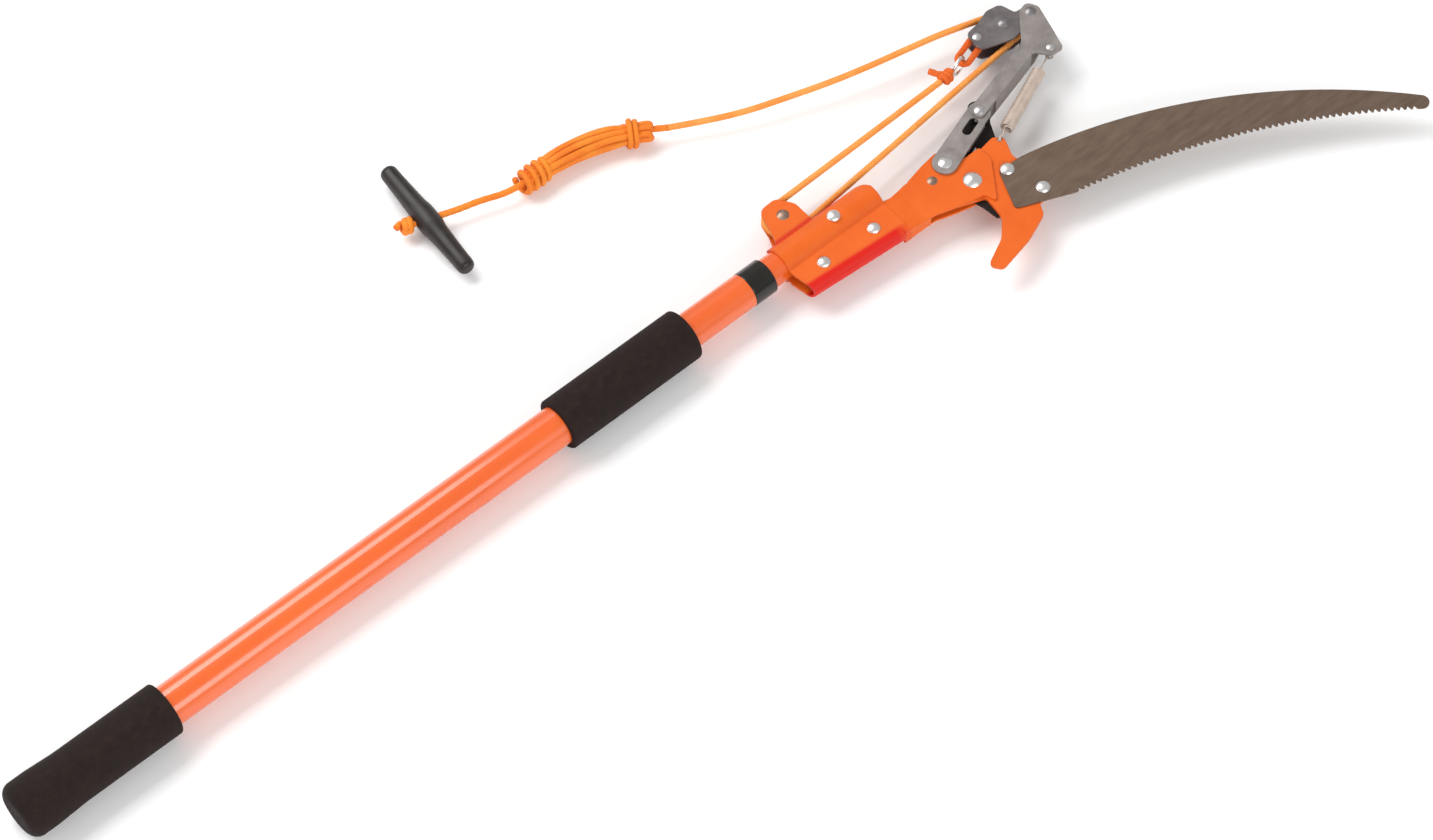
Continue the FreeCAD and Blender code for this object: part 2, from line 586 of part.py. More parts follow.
def block_plate():
    """Front side plate of the upper pulley block."""
    z0, z1 = BLOCK_Z
    corners = [(1017.0, 54.5, 6), (1000.5, 55.5, 3), (996.5, 69.0, 6), (984.0, 71.0, 9), (972.0, 66.5, 10),
               (957.0, 64.5, 5), (955.5, 46.5, 6), (969.0, 41.5, 10), (983.0, 37.5, 9), (998.0, 40.0, 6),
               (1015.0, 38.5, 6)]
    body = plate(corners, z0, z1)
    return without(body, [pin_z(3.5, ARM_TIP, z0 - 1, z1 + 1), pin_z(4.0, UPPER_SHEAVE, z0 - 1, z1 + 1),
                          pin_z(2.2, BECKET, z0 - 1, z1 + 1)])


# ---- becket fittings and spring ---------------------------------------------------------
def becket_loop():
    """Short closed rope loop from the becket pin to the ring."""
    near, far = BECKET, (943.5, 51.8)
    lean = atan2(near[1] - far[1], near[0] - far[0]) * 180 / pi
    r = 4.9
    a0, a1 = (V(*along(near, lean + k, r), 0) for k in (90, -90))
    b0, b1 = (V(*along(far, lean + k, r), 0) for k in (90, -90))
    near_tip = V(*along(near, lean, r), 0)
    far_tip = V(*along(far, lean + 180, r), 0)
    edges = [Part.makeLine(b1, a1), Part.Arc(a1, near_tip, a0).toShape(), Part.makeLine(a0, b0),
             Part.Arc(b0, far_tip, b1).toShape()]
    return swept(edges, ROPE_R, b1, a1 - b1)


def becket_ring():
    """Round wire ring linking the loop and the knot."""
    lean = radians(17.0)
    return Part.makeTorus(RING_R, RING_WIRE_R, V(*RING_CENTRE, 0), V(-sin(lean), cos(lean), 0))


def end_knot():
    """Knot that ties the rope's fixed end to the ring, with its short tail."""
    ball = Part.makeSphere(KNOT_R, V(*KNOT_CENTRE, 0))
    tail = Part.makeCylinder(ROPE_R, 15.0, V(*KNOT_CENTRE, 0), V(-7.0, 11.0, 2.0))
    return joined([ball, tail])


def spring_line():
    """Length and direction (degrees) between the spring's two anchors."""
    dx, dy = SPRING_HIGH[0] - SPRING_LOW[0], SPRING_HIGH[1] - SPRING_LOW[1]
    return hypot(dx, dy), atan2(dy, dx) * 180 / pi


def wire_hook(eye, angle, reach, eye_r, offset, upright):
    """Wire eye of radius eye_r, then a shank and a foot that meet the coils at reach from the eye."""
    r = SPRING_WIRE / 2 + 0.25
    way = V(cos(radians(angle)), sin(radians(angle)), 0)
    anchor = V(eye[0], eye[1], SPRING_LIFT)
    centre = anchor + way * offset
    axis = V(-way.y, way.x, 0) if upright else V(0, 0, 1)
    ring = Part.makeTorus(eye_r, r, centre, axis)
    shank = Part.makeCylinder(r, reach - offset - eye_r, centre + way * eye_r, way)
    foot = Part.makeCylinder(r, SPRING_R - SPRING_WIRE, anchor + way * reach, V(0, 0, 1))
    return joined([ring, shank, foot])


def return_spring():
    """Extension spring as its outer shape: closed coils with the lower hook, and the upper hook."""
    length, lean = spring_line()
    way = V(cos(radians(lean)), sin(radians(lean)), 0)
    low = V(SPRING_LOW[0], SPRING_LOW[1], SPRING_LIFT)
    coils = Part.makeCylinder(SPRING_R, COIL_LEN, low + way * COIL_START, way)
    hollow = Part.makeCylinder(SPRING_R - 2 * SPRING_WIRE, COIL_LEN + 2, low + way * (COIL_START - 1), way)
    coils = coils.cut(hollow)
    low_hook = wire_hook(SPRING_LOW, lean, COIL_START + 0.4, 3.4, 2.2, True)
    reach = length - COIL_START - COIL_LEN - 1.1
    high_hook = wire_hook(SPRING_HIGH, lean + 180, reach, 3.3, 0.0, False)
    return joined([coils, low_hook]), high_hook


# ---- hank, toggle -----------------------------------------------------------------------
def rope_hank(lead, tail):
    """The rope's spare length, folded back and forth and whipped near both ends."""
    p0, pm, p1 = [V(*p) for p in HANK_PATH]
    arc = Part.ArcOfCircle(p0, pm, p1)
    inset = 0.075
    lo, hi = arc.FirstParameter, arc.LastParameter
    a, b = lo + (hi - lo) * inset, hi - (hi - lo) * inset
    arc_edge = Part.Arc(arc.value(a), arc.value((a + b) / 2), arc.value(b)).toShape()
    tube_body = swept([arc_edge], HANK_R, arc.value(a), arc.tangent(a)[0])
    ends = [Part.makeSphere(HANK_R, arc.value(a)), Part.makeSphere(HANK_R, arc.value(b))]
    return joined([tube_body] + ends).cut(lead).cut(tail)


def toggle():
    """Turned cross handle with a waist at each end and a hole for the rope."""
    half = TOGGLE_LEN / 2
    profile = [(0, -half), (6.0, -half), (7.5, -half + 2), (7.5, -half + 8), (9.8, -12), (10.0, -6),
               (10.0, 6), (9.8, 12), (7.5, half - 8), (7.5, half - 2), (6.0, half), (0, half)]
    pts = [V(r, y, 0) for r, y in profile]
    body = Part.Face(Part.makePolygon(pts + pts[:1])).revolve(V(0, 0, 0), V(0, 1, 0), 360)
    body.rotate(V(0, 0, 0), V(0, 0, 1), TOGGLE_TURN)
    body.translate(V(*TOGGLE_MID))
    end, before = V(*TAIL_POINTS[-1]), V(*TAIL_POINTS[-2])
    way = (end - before).normalize()
    return body.cut(Part.makeCylinder(ROPE_R, 60, end - way * 20, way))


def stop_knot():
    """Knot that stops the toggle, with the rope's cut end, and the rope inside the toggle."""
    end, before = V(*TAIL_POINTS[-1]), V(*TAIL_POINTS[-2])
    way = (end - before).normalize()
    centre = end + way * STOP_KNOT_REACH
    ball = Part.makeSphere(STOP_KNOT_R, centre)
    tip = Part.makeCylinder(ROPE_R, 12.0, centre, V(-10.0, -4.0, -0.5))
    inside = Part.makeCylinder(ROPE_R, STOP_KNOT_REACH - STOP_KNOT_R, end, way)
    return joined([ball, tip]), inside


def tackle():
    """Rope of the two-sheave tackle: two straight strands and the wraps round the sheaves."""
    rise = UPPER_SHEAVE[1] - LOWER_SHEAVE[1]
    run = UPPER_SHEAVE[0] - LOWER_SHEAVE[0]
    under = atan2(rise, run) * 180 / pi - 90
    over = tangent_angle(LOWER_SHEAVE, KNOT_CENTRE, 1)
    leave = tangent_angle(UPPER_SHEAVE, LEAD_POINTS[0], -1)
    low_under = along(LOWER_SHEAVE, under, SHEAVE_PITCH_R)
    low_over = along(LOWER_SHEAVE, over, SHEAVE_PITCH_R)
    strand_2 = rope_run(low_under, along(UPPER_SHEAVE, under, SHEAVE_PITCH_R))
    dx, dy = KNOT_CENTRE[0] - low_over[0], KNOT_CENTRE[1] - low_over[1]
    share = 1 - (KNOT_R + 0.4) / hypot(dx, dy)
    strand_1 = rope_run(low_over, (low_over[0] + dx * share, low_over[1] + dy * share))
    lower_wrap = rope_wrap(LOWER_SHEAVE, over, under + 360)
    upper_wrap = rope_wrap(UPPER_SHEAVE, under, leave)
    print("strand ends", low_over, low_under, along(UPPER_SHEAVE, under, SHEAVE_PITCH_R))
    return strand_1, lower_wrap, strand_2, upper_wrap, along(UPPER_SHEAVE, leave, SHEAVE_PITCH_R)


def tangent_angle(centre, point, side):
    """Angle on the rope's circle round centre where a line from point touches it (degrees)."""
    dx, dy = point[0] - centre[0], point[1] - centre[1]
    return (atan2(dy, dx) + side * acos(SHEAVE_PITCH_R / hypot(dx, dy))) * 180 / pi


def free_rope(exit_point):
    """The two free lengths: sheave to hank, and hank to toggle."""
    first = LEAD_POINTS[0]
    start = V(*exit_point, 0)
    start = start + (V(*first) - start).normalize() * 0.2
    return rope([tuple(start)] + LEAD_POINTS, "lead"), rope(TAIL_POINTS, "tail")


def pole():
    pieces = {}
    pieces["outer_tube"] = tube(OUTER_R, WALL, 3.0, OUTER_END)
    pieces["bottom_grip"] = bottom_grip()
    pieces["end_plug"] = end_plug()
    pieces["mid_grip"] = mid_grip()
    pieces["middle_tube"] = tube(MIDDLE_R, WALL, MIDDLE_FOOT, MIDDLE_END)
    pieces["middle_guide"] = guide_plug(OUTER_R - WALL - RUNNING_FIT, 8.0, MIDDLE_R - WALL, MIDDLE_FOOT)
    pieces["lock_collar"] = lock_collar()
    inner = tube(INNER_R, INNER_WALL, INNER_FOOT, SOCKET[1] - 12.0)
    pieces["inner_tube"] = inner.cut(pin_z(3.0, TUBE_BOLT, -20, 20))
    pieces["inner_guide"] = guide_plug(MIDDLE_R - WALL - RUNNING_FIT, 7.0, INNER_R - INNER_WALL, INNER_FOOT)
    return pieces


def head():
    pieces = {}
    pieces["bracket"] = bracket()
    pieces["hook_plate"] = hook_plate()
    pieces["cutting_blade"] = cutting_blade()
    pieces["saw_blade"] = saw_blade()
    pieces["saw_screws"] = saw_screws()
    pieces["bracket_bolts"], pieces["bracket_nuts"] = bracket_bolts()
    pieces["neck_rivet"] = rivet(NECK_RIVET, 2.45, 4.0, NECK_HALF, -NECK_HALF, 1.2)
    pieces["neck_spacer"] = pin_z(5.0, NECK_RIVET, -HOOK_Z[1], 0.0).cut(pin_z(2.5, NECK_RIVET, -4, 1))
    pivot = screw(BLADE_PIVOT, 4.98, 7.4, NECK_HALF, -NECK_HALF, 3.2)
    pieces["pivot_bolt"], pieces["pivot_nut"] = pivot
    pieces["lower_sheave"] = sheave(LOWER_SHEAVE)
    pieces["lower_sheave_pin"] = rivet(LOWER_SHEAVE, 3.98, 4.9, FOLD_HALF, -FOLD_HALF)
    return pieces


def lever():
    pieces = {}
    pieces["front_link"], pieces["back_link"] = lever_links()
    pieces["lever_arm"] = lever_arm()
    pieces["lever_pivot_rivet"] = rivet(LEVER_PIVOT, 3.95, 5.3, LINK_Z[1], -LINK_Z[1], 1.8)
    pieces["arm_rivet"] = arm_rivets()
    pieces["drive_pin"] = drive_pin()
    pieces["spring_pin"] = spring_pin()
    pieces["block_pivot"] = rivet(ARM_TIP, 3.45, 4.6, ARM_Z[1], -ARM_Z[1])
    front = block_plate()
    pieces["block_front"] = front
    pieces["block_back"] = front.mirror(V(0, 0, 0), V(0, 0, 1))
    pieces["upper_sheave"] = sheave(UPPER_SHEAVE)
    pieces["upper_sheave_pin"] = rivet(UPPER_SHEAVE, 3.98, 4.7, BLOCK_Z[1], -BLOCK_Z[1])
    pieces["becket_pin"] = rivet(BECKET, 2.18, 3.6, BLOCK_Z[1], -BLOCK_Z[1], 1.2)
    pieces["return_spring"], pieces["spring_hook"] = return_spring()
    return pieces


def ropes():
    pieces = {}
    strand_1, lower_wrap, strand_2, upper_wrap, exit_point = tackle()
    pieces["becket_loop"] = becket_loop()
    pieces["becket_ring"] = becket_ring()
    pieces["end_knot"] = end_knot()
    pieces["rope_strand_1"] = strand_1
    pieces["rope_lower_wrap"] = lower_wrap
    pieces["rope_strand_2"] = strand_2
    pieces["rope_upper_wrap"] = upper_wrap
    pieces["rope_lead"], pieces["rope_tail"] = free_rope(exit_point)
    pieces["rope_hank"] = rope_hank(pieces["rope_lead"], pieces["rope_tail"])
    pieces["toggle"] = toggle()
    pieces["stop_knot"], pieces["rope_in_toggle"] = stop_knot()
    return pieces


def build():
    os.makedirs("parts", exist_ok=True)
    for group in (pole, head, lever, ropes):
        for name, shape in group().items():
            solids = len(shape.Solids)
            if not shape.isValid() or solids == 0:
                print("BAD", name, shape.isValid(), solids)
            print("%-20s solids %d volume %.0f" % (name, solids, shape.Volume))
            shape.exportStep("parts/" + name + ".step")


build()
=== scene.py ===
import bpy
from math import cos, pi, radians, sin
from mathutils import Matrix, Vector


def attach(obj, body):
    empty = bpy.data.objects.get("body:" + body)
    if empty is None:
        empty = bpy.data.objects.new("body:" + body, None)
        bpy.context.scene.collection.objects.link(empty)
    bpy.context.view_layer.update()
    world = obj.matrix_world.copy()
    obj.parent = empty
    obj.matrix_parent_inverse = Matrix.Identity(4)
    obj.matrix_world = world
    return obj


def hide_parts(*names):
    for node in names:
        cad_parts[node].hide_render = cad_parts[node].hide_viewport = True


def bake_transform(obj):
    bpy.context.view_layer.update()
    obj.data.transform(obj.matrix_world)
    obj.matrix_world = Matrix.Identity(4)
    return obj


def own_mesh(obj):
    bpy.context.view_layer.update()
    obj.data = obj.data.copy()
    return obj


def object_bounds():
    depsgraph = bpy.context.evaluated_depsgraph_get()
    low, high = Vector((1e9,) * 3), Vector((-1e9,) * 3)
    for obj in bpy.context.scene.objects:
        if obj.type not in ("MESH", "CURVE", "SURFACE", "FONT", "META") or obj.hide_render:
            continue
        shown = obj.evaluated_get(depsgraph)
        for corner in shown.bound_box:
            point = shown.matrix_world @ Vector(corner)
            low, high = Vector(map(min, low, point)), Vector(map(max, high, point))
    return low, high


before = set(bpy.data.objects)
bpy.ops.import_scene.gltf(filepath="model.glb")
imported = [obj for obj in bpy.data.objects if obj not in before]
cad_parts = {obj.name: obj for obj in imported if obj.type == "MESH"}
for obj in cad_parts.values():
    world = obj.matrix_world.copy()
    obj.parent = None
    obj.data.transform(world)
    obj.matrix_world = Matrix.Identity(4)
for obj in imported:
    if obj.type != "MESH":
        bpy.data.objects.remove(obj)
cad_low, cad_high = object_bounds()

# ---- Table, light and camera -------------------------------------------------------------
# The tool lies on its side on a pale table in a bright room, with one long soft box high on the
# rope side and a lower one on the saw side. The camera stands past the butt end, on the saw side,
# and looks down.
bpy.context.scene.view_settings.view_transform = "Standard"
world = bpy.data.worlds.new("room")
bpy.context.scene.world = world
world.use_nodes = True
room_light = world.node_tree.nodes["Background"]
room_light.inputs["Color"].default_value = (1.0, 1.0, 1.0, 1.0)
room_light.inputs["Strength"].default_value = 0.52

table_z = cad_low.z - 0.0002
table_mesh = bpy.data.meshes.new("table")
table_mesh.from_pydata([(-6, -6, table_z), (8, -6, table_z), (8, 6, table_z), (-6, 6, table_z)],
                       [], [(0, 1, 2, 3)])
table = bpy.data.objects.new("table", table_mesh)
bpy.context.scene.collection.objects.link(table)
table_paint = bpy.data.materials.new("pale_table")
table_paint.use_nodes = True
table_skin = table_paint.node_tree.nodes["Principled BSDF"]
table_skin.inputs["Base Color"].default_value = (0.97, 0.97, 0.97, 1)
table_skin.inputs["Roughness"].default_value = 0.85
table_mesh.materials.append(table_paint)


def soft_box(name, place, look_at, size, power):
    """Long light; its width lies square to the pole."""
    light = bpy.data.lights.new(name, "AREA")
    light.shape = "RECTANGLE"
    light.size, light.size_y = size
    light.energy = power
    lamp = bpy.data.objects.new(name, light)
    shine = (Vector(place) - Vector(look_at)).normalized()
    side = Vector((1, 0, 0))
    side = (side - shine * side.dot(shine)).normalized()
    facing = Matrix((side, shine.cross(side), shine)).transposed().to_4x4()
    lamp.matrix_world = Matrix.Translation(place) @ facing
    bpy.context.scene.collection.objects.link(lamp)


lit_spot = (0.05, 0, 0)
soft_box("rope_side_box", (0.05, 1.60, 2.08), lit_spot, (2.4, 1.5), 62)
soft_box("saw_side_box", (0.05, -2.2, 1.33), lit_spot, (2.4, 1.2), 42)

camera = bpy.data.objects.new("camera", bpy.data.cameras.new("camera"))
bpy.context.scene.collection.objects.link(camera)
bpy.context.scene.camera = camera
camera_rise, camera_turn, camera_reach = radians(58.2), radians(40.753), 3.225
middle = Vector((0.5826, -0.07275, 0.0))
right = Vector((cos(camera_turn), -sin(camera_turn), 0))
level = Vector((sin(camera_turn), cos(camera_turn), 0))
back = -level * cos(camera_rise) + Vector((0, 0, sin(camera_rise)))
up = back.cross(right)
turn = Matrix((right, up, back)).transposed().to_4x4()
camera.matrix_world = Matrix.Translation(middle + back * camera_reach) @ turn
camera.data.sensor_width = 36
camera.data.lens = 109.93

# ---- Rope, from the upper sheave to the hank ---------------------------------------------
# 5 mm orange braided polyester. It leaves the upper sheave, sags freely back along the pole and
# meets the hank. Woven as a tube of eight crossing strands over its own line.
rope_thick = 0.005
braid_relief = 0.07   # how far the strands stand proud, as a share of the radius


def read_line(name, controls, steps):
    """Smooth line through the route, read back as points."""
    curve = bpy.data.curves.new(name + "_line", "CURVE")
    curve.dimensions = "3D"
    curve.resolution_u = steps
    spline = curve.splines.new("NURBS")
    spline.points.add(len(controls) - 1)
    for point, place in zip(spline.points, controls):
        point.co = (place[0], place[1], place[2], 1)
    spline.order_u = 3
    spline.use_endpoint_u = True
    holder = bpy.data.objects.new(name + "_line", curve)
    line = bpy.data.meshes.new_from_object(holder)
    points = [v.co.copy() for v in line.vertices]
    bpy.data.objects.remove(holder)
    bpy.data.meshes.remove(line)
    return points


def wind_tube(name, points, thick, sides=16, relief=0.0, closed=False, twist=4):
    """Closed skin round the points. relief raises crossing strands on it; twist counts them."""
    ways = []
    count = len(points)
    for i in range(count):
        ahead = points[(i + 1) % count] if closed else points[min(i + 1, count - 1)]
        behind = points[i - 1] if closed else points[max(i - 1, 0)]
        ways.append((ahead - behind).normalized())
    side = ways[0].orthogonal().normalized()
    rings, reach, far = [], [], 0.0
    for i in range(count):
        side = (side - ways[i] * side.dot(ways[i])).normalized()
        other = ways[i].cross(side)
        if i:
            far += (points[i] - points[i - 1]).length
        reach.append(far)
        wave = 2 * pi * twist * far / (pi * thick)
        ring = []
        for k in range(sides):
            a = 2 * pi * k / sides
            r = thick / 2 * (1 + relief * cos(twist * a + wave) * cos(twist * a - wave))
            ring.append(points[i] + side * (r * cos(a)) + other * (r * sin(a)))
        rings.append(ring)
    mesh = bpy.data.meshes.new(name)
    verts = [p for ring in rings for p in ring]
    faces, spots = [], []
    last = count if closed else count - 1
    shift = 0
    if closed:
        first = rings[0]
        shift = min(range(sides), key=lambda s: (first[s] - rings[-1][0]).length)
    for i in range(last):
        j = (i + 1) % count
        step = shift if j == 0 else 0
        for k in range(sides):
            m = (k + 1) % sides
            faces.append((i * sides + k, i * sides + m, j * sides + (m + step) % sides,
                          j * sides + (k + step) % sides))
            low, high = reach[i] / (pi * thick), (reach[j] if j else far) / (pi * thick)
            near, next_one = k / sides, (k + 1) / sides
            spots += [(near, low), (next_one, low), (next_one, high), (near, high)]
    if not closed:
        verts += [points[0] - ways[0] * thick * 0.08, points[-1] + ways[-1] * thick * 0.08]
        for k in range(sides):
            m = (k + 1) % sides
            faces.append((m, k, count * sides))
            faces.append(((count - 1) * sides + k, (count - 1) * sides + m, count * sides + 1))
            spots += [(0.5, 0.5)] * 6
    mesh.from_pydata(verts, [], faces)
    layer = mesh.uv_layers.new(name="wrap")
    for loop, spot in zip(layer.data, spots):
        loop.uv = spot
    mesh.polygons.foreach_set("use_smooth", [True] * len(faces))
    mesh.update()
    piece = bpy.data.objects.new(name, mesh)
    bpy.context.scene.collection.objects.link(piece)
    return piece


def rope_fibre(name, light, deep, gap_shade):
    """Braided rope: crossing ribs of fine yarn; the colour follows their height, painted highlight
    where they stand proud and painted shade in between.
    """
    mat = bpy.data.materials.new(name)
    mat.use_nodes = True
    tree = mat.node_tree
    add, link = tree.nodes.new, tree.links.new
    skin = tree.nodes["Principled BSDF"]
    wrap = add("ShaderNodeUVMap")
    wrap.uv_map = "wrap"
    waves = []
    for flip in (1, -1):
        grid = add("ShaderNodeMapping")
        grid.inputs["Scale"].default_value = (1, flip, 0)
        link(wrap.outputs["UV"], grid.inputs["Vector"])
        wave = add("ShaderNodeTexWave")
        wave.wave_type = "BANDS"
        wave.bands_direction = "DIAGONAL"
        wave.inputs["Scale"].default_value = 8 * 0.62832
        wave.inputs["Distortion"].default_value = 0.35
        link(grid.outputs["Vector"], wave.inputs["Vector"])
        waves.append(wave)
    weave = add("ShaderNodeMath")
    weave.operation = "MULTIPLY"
    link(waves[0].outputs["Fac"], weave.inputs[0])
    link(waves[1].outputs["Fac"], weave.inputs[1])
    place = add("ShaderNodeTexCoord")
    fuzz = add("ShaderNodeTexNoise")
    fuzz.inputs["Scale"].default_value = 700
    fuzz.inputs["Detail"].default_value = 4
    link(place.outputs["Object"], fuzz.inputs["Vector"])
    cloud = add("ShaderNodeTexNoise")
    cloud.inputs["Scale"].default_value = 45
    link(place.outputs["Object"], cloud.inputs["Vector"])
    height = add("ShaderNodeMath")
    height.operation = "MULTIPLY_ADD"
    height.inputs[1].default_value = 0.45
    link(fuzz.outputs["Fac"], height.inputs[0])
    link(weave.outputs[0], height.inputs[2])
    # Painted light: dark painted shade between the ribs, lighter painted highlight on their crowns.
    ramp = add("ShaderNodeValToRGB")
    ramp.color_ramp.elements[0].position = 0.12
    ramp.color_ramp.elements[0].color = (*gap_shade, 1)
    ramp.color_ramp.elements[1].position = 0.85
    ramp.color_ramp.elements[1].color = (*light, 1)
    centre = ramp.color_ramp.elements.new(0.42)
    centre.color = (*deep, 1)
    link(height.outputs[0], ramp.inputs["Fac"])
    tint = add("ShaderNodeMix")
    tint.data_type = "RGBA"
    tint.inputs["Factor"].default_value = 0.3
    stain = add("ShaderNodeValToRGB")
    stain.color_ramp.elements[0].color = (*deep, 1)
    stain.color_ramp.elements[1].color = (*light, 1)
    stain.color_ramp.elements[0].position = 0.4
    stain.color_ramp.elements[1].position = 0.6
    link(cloud.outputs["Fac"], stain.inputs["Fac"])
    link(ramp.outputs["Color"], tint.inputs["A"])
    link(stain.outputs["Color"], tint.inputs["B"])
    link(tint.outputs["Result"], skin.inputs["Base Color"])
    bump = add("ShaderNodeBump")
    bump.inputs["Strength"].default_value = 0.6
    bump.inputs["Distance"].default_value = 0.0005
    link(height.outputs[0], bump.inputs["Height"])
    link(bump.outputs["Normal"], skin.inputs["Normal"])
    skin.inputs["Roughness"].default_value = 0.62
    skin.inputs["Specular IOR Level"].default_value = 0.25
    return mat


rope_paint = rope_fibre("rope_orange", (0.97, 0.47, 0.12), (0.92, 0.30, 0.05), (0.58, 0.12, 0.015))

lead_route = [(0.9914, 0.0673, 0.0), (0.953, 0.080, -0.0005), (0.919, 0.088, -0.0015),
              (0.885, 0.096, -0.003), (0.851, 0.1055, -0.0045), (0.818, 0.117, -0.006),
              (0.787, 0.128, -0.0075), (0.758, 0.142, -0.0085), (0.731, 0.157, -0.009)]
lead_line = read_line("lead", lead_route, 34)
lead = wind_tube("rope_lead_braid", lead_line, rope_thick, 20, braid_relief)
lead.data.materials.append(rope_paint)
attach(lead, "head")
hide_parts("rope_lead")
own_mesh(lead)

# ---- Hank, tail and stop knot ------------------------------------------------------------
# The spare rope, folded to and fro eleven times in a slight bow and whipped round near both ends.
# Its tail runs on to the cross handle, goes through it and is knotted behind.
hank_start, hank_end = Vector((0.731, 0.157, -0.009)), Vector((0.614, 0.1895, -0.0095))
bow_route = [hank_start, Vector((0.709, 0.1695, -0.009)), Vector((0.680, 0.184, -0.009)),
             Vector((0.645, 0.1905, -0.009)), hank_end]
bow_line = read_line("bow", bow_route, 16)
bow_reach = 0.13   # length that a share of 1 stands for beyond either end of the bow


def bow_place(share, angle, radius):
    """Point on the hank at a share of its length, beside the middle of the bow."""
    spot = min(max(share, 0), 1) * (len(bow_line) - 1)
    i = min(int(spot), len(bow_line) - 2)
    way = (bow_line[i + 1] - bow_line[i]).normalized()
    place = bow_line[i].lerp(bow_line[i + 1], spot - i)
    if share < 0:
        place = bow_line[0] + way * (share * bow_reach)
    if share > 1:
        place = bow_line[-1] + way * ((share - 1) * bow_reach)
    over = Vector((0, 0, 1))
    across = way.cross(over).normalized()
    return place + across * (radius * cos(angle)) + over * (radius * sin(angle))


def hank_squeeze(share):
    """Share of its loose width that the bundle keeps where it is whipped round."""
    near_high = max(0, 1 - abs(share - high_whip_at) / 0.13)
    near_low = max(0, 1 - abs(share - 0.95) / 0.14)
    return 1 - 0.30 * near_high - 0.42 * near_low


high_whip_at, low_whip_at = 0.215, 0.945
core_r, shell_r = 0.0024, 0.0071   # two runs in the middle and nine round them
runs = [(90, core_r), (270, core_r)] + [(20 + 40 * k, shell_r) for k in range(9)]
hank_route = [hank_start.copy()]
for number, (angle, radius) in enumerate(runs):
    outward = number % 2 == 0
    first, last = 0.125 + 0.012 * ((number * 5) % 4), 0.965 - 0.006 * ((number * 3) % 4)
    shares = [first + (last - first) * k / 8 for k in range(9)]
    if not outward:
        shares.reverse()
    if number:
        turn_at = min(run_end, shares[0]) - 0.03 if outward else max(run_end, shares[0]) + 0.03
        from_angle, from_radius = runs[number - 1]
        hank_route.append(bow_place(turn_at, radians(from_angle), from_radius * 0.9))
        hank_route.append(bow_place(turn_at, radians(angle), radius * 0.9))
    for k, share in enumerate(shares):
        sway = 0.0004 * sin(number * 2.1 + k * 1.3)
        lean = 0.05 * sin(k + number)
        hank_route.append(bow_place(share, radians(angle) + lean, radius * hank_squeeze(share) + sway))
    run_end = shares[-1]
tail_route = [(0.614, 0.1895, -0.0095), (0.597, 0.1915, -0.0098), (0.579, 0.199, -0.010),
              (0.561, 0.2035, -0.010), (0.545, 0.209, -0.010), (0.5335, 0.21295, -0.010),
              (0.5216, 0.21705, -0.010)]
hank_route += [Vector(p) for p in tail_route]
hank_line = read_line("hank", hank_route, 12)
hank = wind_tube("rope_hank_and_tail", hank_line, rope_thick, 14, braid_relief)
hank_paint = rope_fibre("rope_hank_orange", (0.94, 0.38, 0.040), (0.86, 0.20, 0.016),
                        (0.58, 0.06, 0.006))
hank.data.materials.append(hank_paint)


def whip_round(name, share, turns, spread, radius, thick):
    """Turns of rope round the bundle, side by side."""
    steps = turns * 16
    places = []
    for k in range(steps + 1):
        along = share + spread * (k / steps - 0.5)
        places.append(bow_place(along, 2 * pi * k / 16, radius * (1 + 0.16 * sin(pi * k / steps))))
    line = read_line(name, places, 2)
    piece = wind_tube(name, line, thick, 14, braid_relief)
    piece.data.materials.append(hank_paint)
    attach(piece, "head")
    return piece


whip_high = whip_round("hank_whipping_high", high_whip_at, 2, 0.078, 0.0088, 0.0046)
whip_low = whip_round("hank_whipping_low", low_whip_at, 4, 0.150, 0.0074, 0.0048)

knot_way = (Vector(tail_route[4]) - Vector(tail_route[3])).normalized()
knot_mid = Vector(tail_route[4]) + knot_way * 0.025
knot_side = knot_way.cross(Vector((0, 0, 1))).normalized()
knot_places = []
for k in range(25):
    a = 2 * pi * k / 12
    knot_places.append(knot_mid + knot_way * (-0.0035 + 0.0070 * k / 24)
                       + (knot_side * cos(a) + Vector((0, 0, 1)) * sin(a)) * 0.0042)
knot_places.append(knot_mid + knot_way * 0.0085 + knot_side * 0.001)
stop_knot = wind_tube("rope_stop_knot", read_line("stop_knot", knot_places, 4), 0.0056, 14,
                      braid_relief)
stop_knot.data.materials.append(hank_paint)
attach(stop_knot, "head")
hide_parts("stop_knot")


# ---- Toggle ------------------------------------------------------------------------------
# Black moulded cross handle, thickest in the middle and rounded at its ends. The rope goes through
# its middle.
def spin_round(name, profile, sides, start, way):
    """Closed round piece: (reach, radius) pairs turned about the line from start."""
    way = way.normalized()
    side = way.orthogonal().normalized()
    other = way.cross(side)
    verts, faces = [], []
    for reach, radius in profile:
        for k in range(sides):
            a = 2 * pi * k / sides
            verts.append(start + way * reach + side * (radius * cos(a)) + other * (radius * sin(a)))
    rows = len(profile)
    for i in range(rows - 1):
        for k in range(sides):
            m = (k + 1) % sides
            faces.append((i * sides + k, i * sides + m, (i + 1) * sides + m, (i + 1) * sides + k))
    verts += [start + way * profile[0][0], start + way * profile[-1][0]]
    for k in range(sides):
        m = (k + 1) % sides
        faces.append((m, k, rows * sides))
        faces.append(((rows - 1) * sides + k, (rows - 1) * sides + m, rows * sides + 1))
    mesh = bpy.data.meshes.new(name)
    mesh.from_pydata(verts, [], faces)
    mesh.polygons.foreach_set("use_smooth", [True] * len(faces))
    mesh.update()
    piece = bpy.data.objects.new(name, mesh)
    bpy.context.scene.collection.objects.link(piece)
    return piece


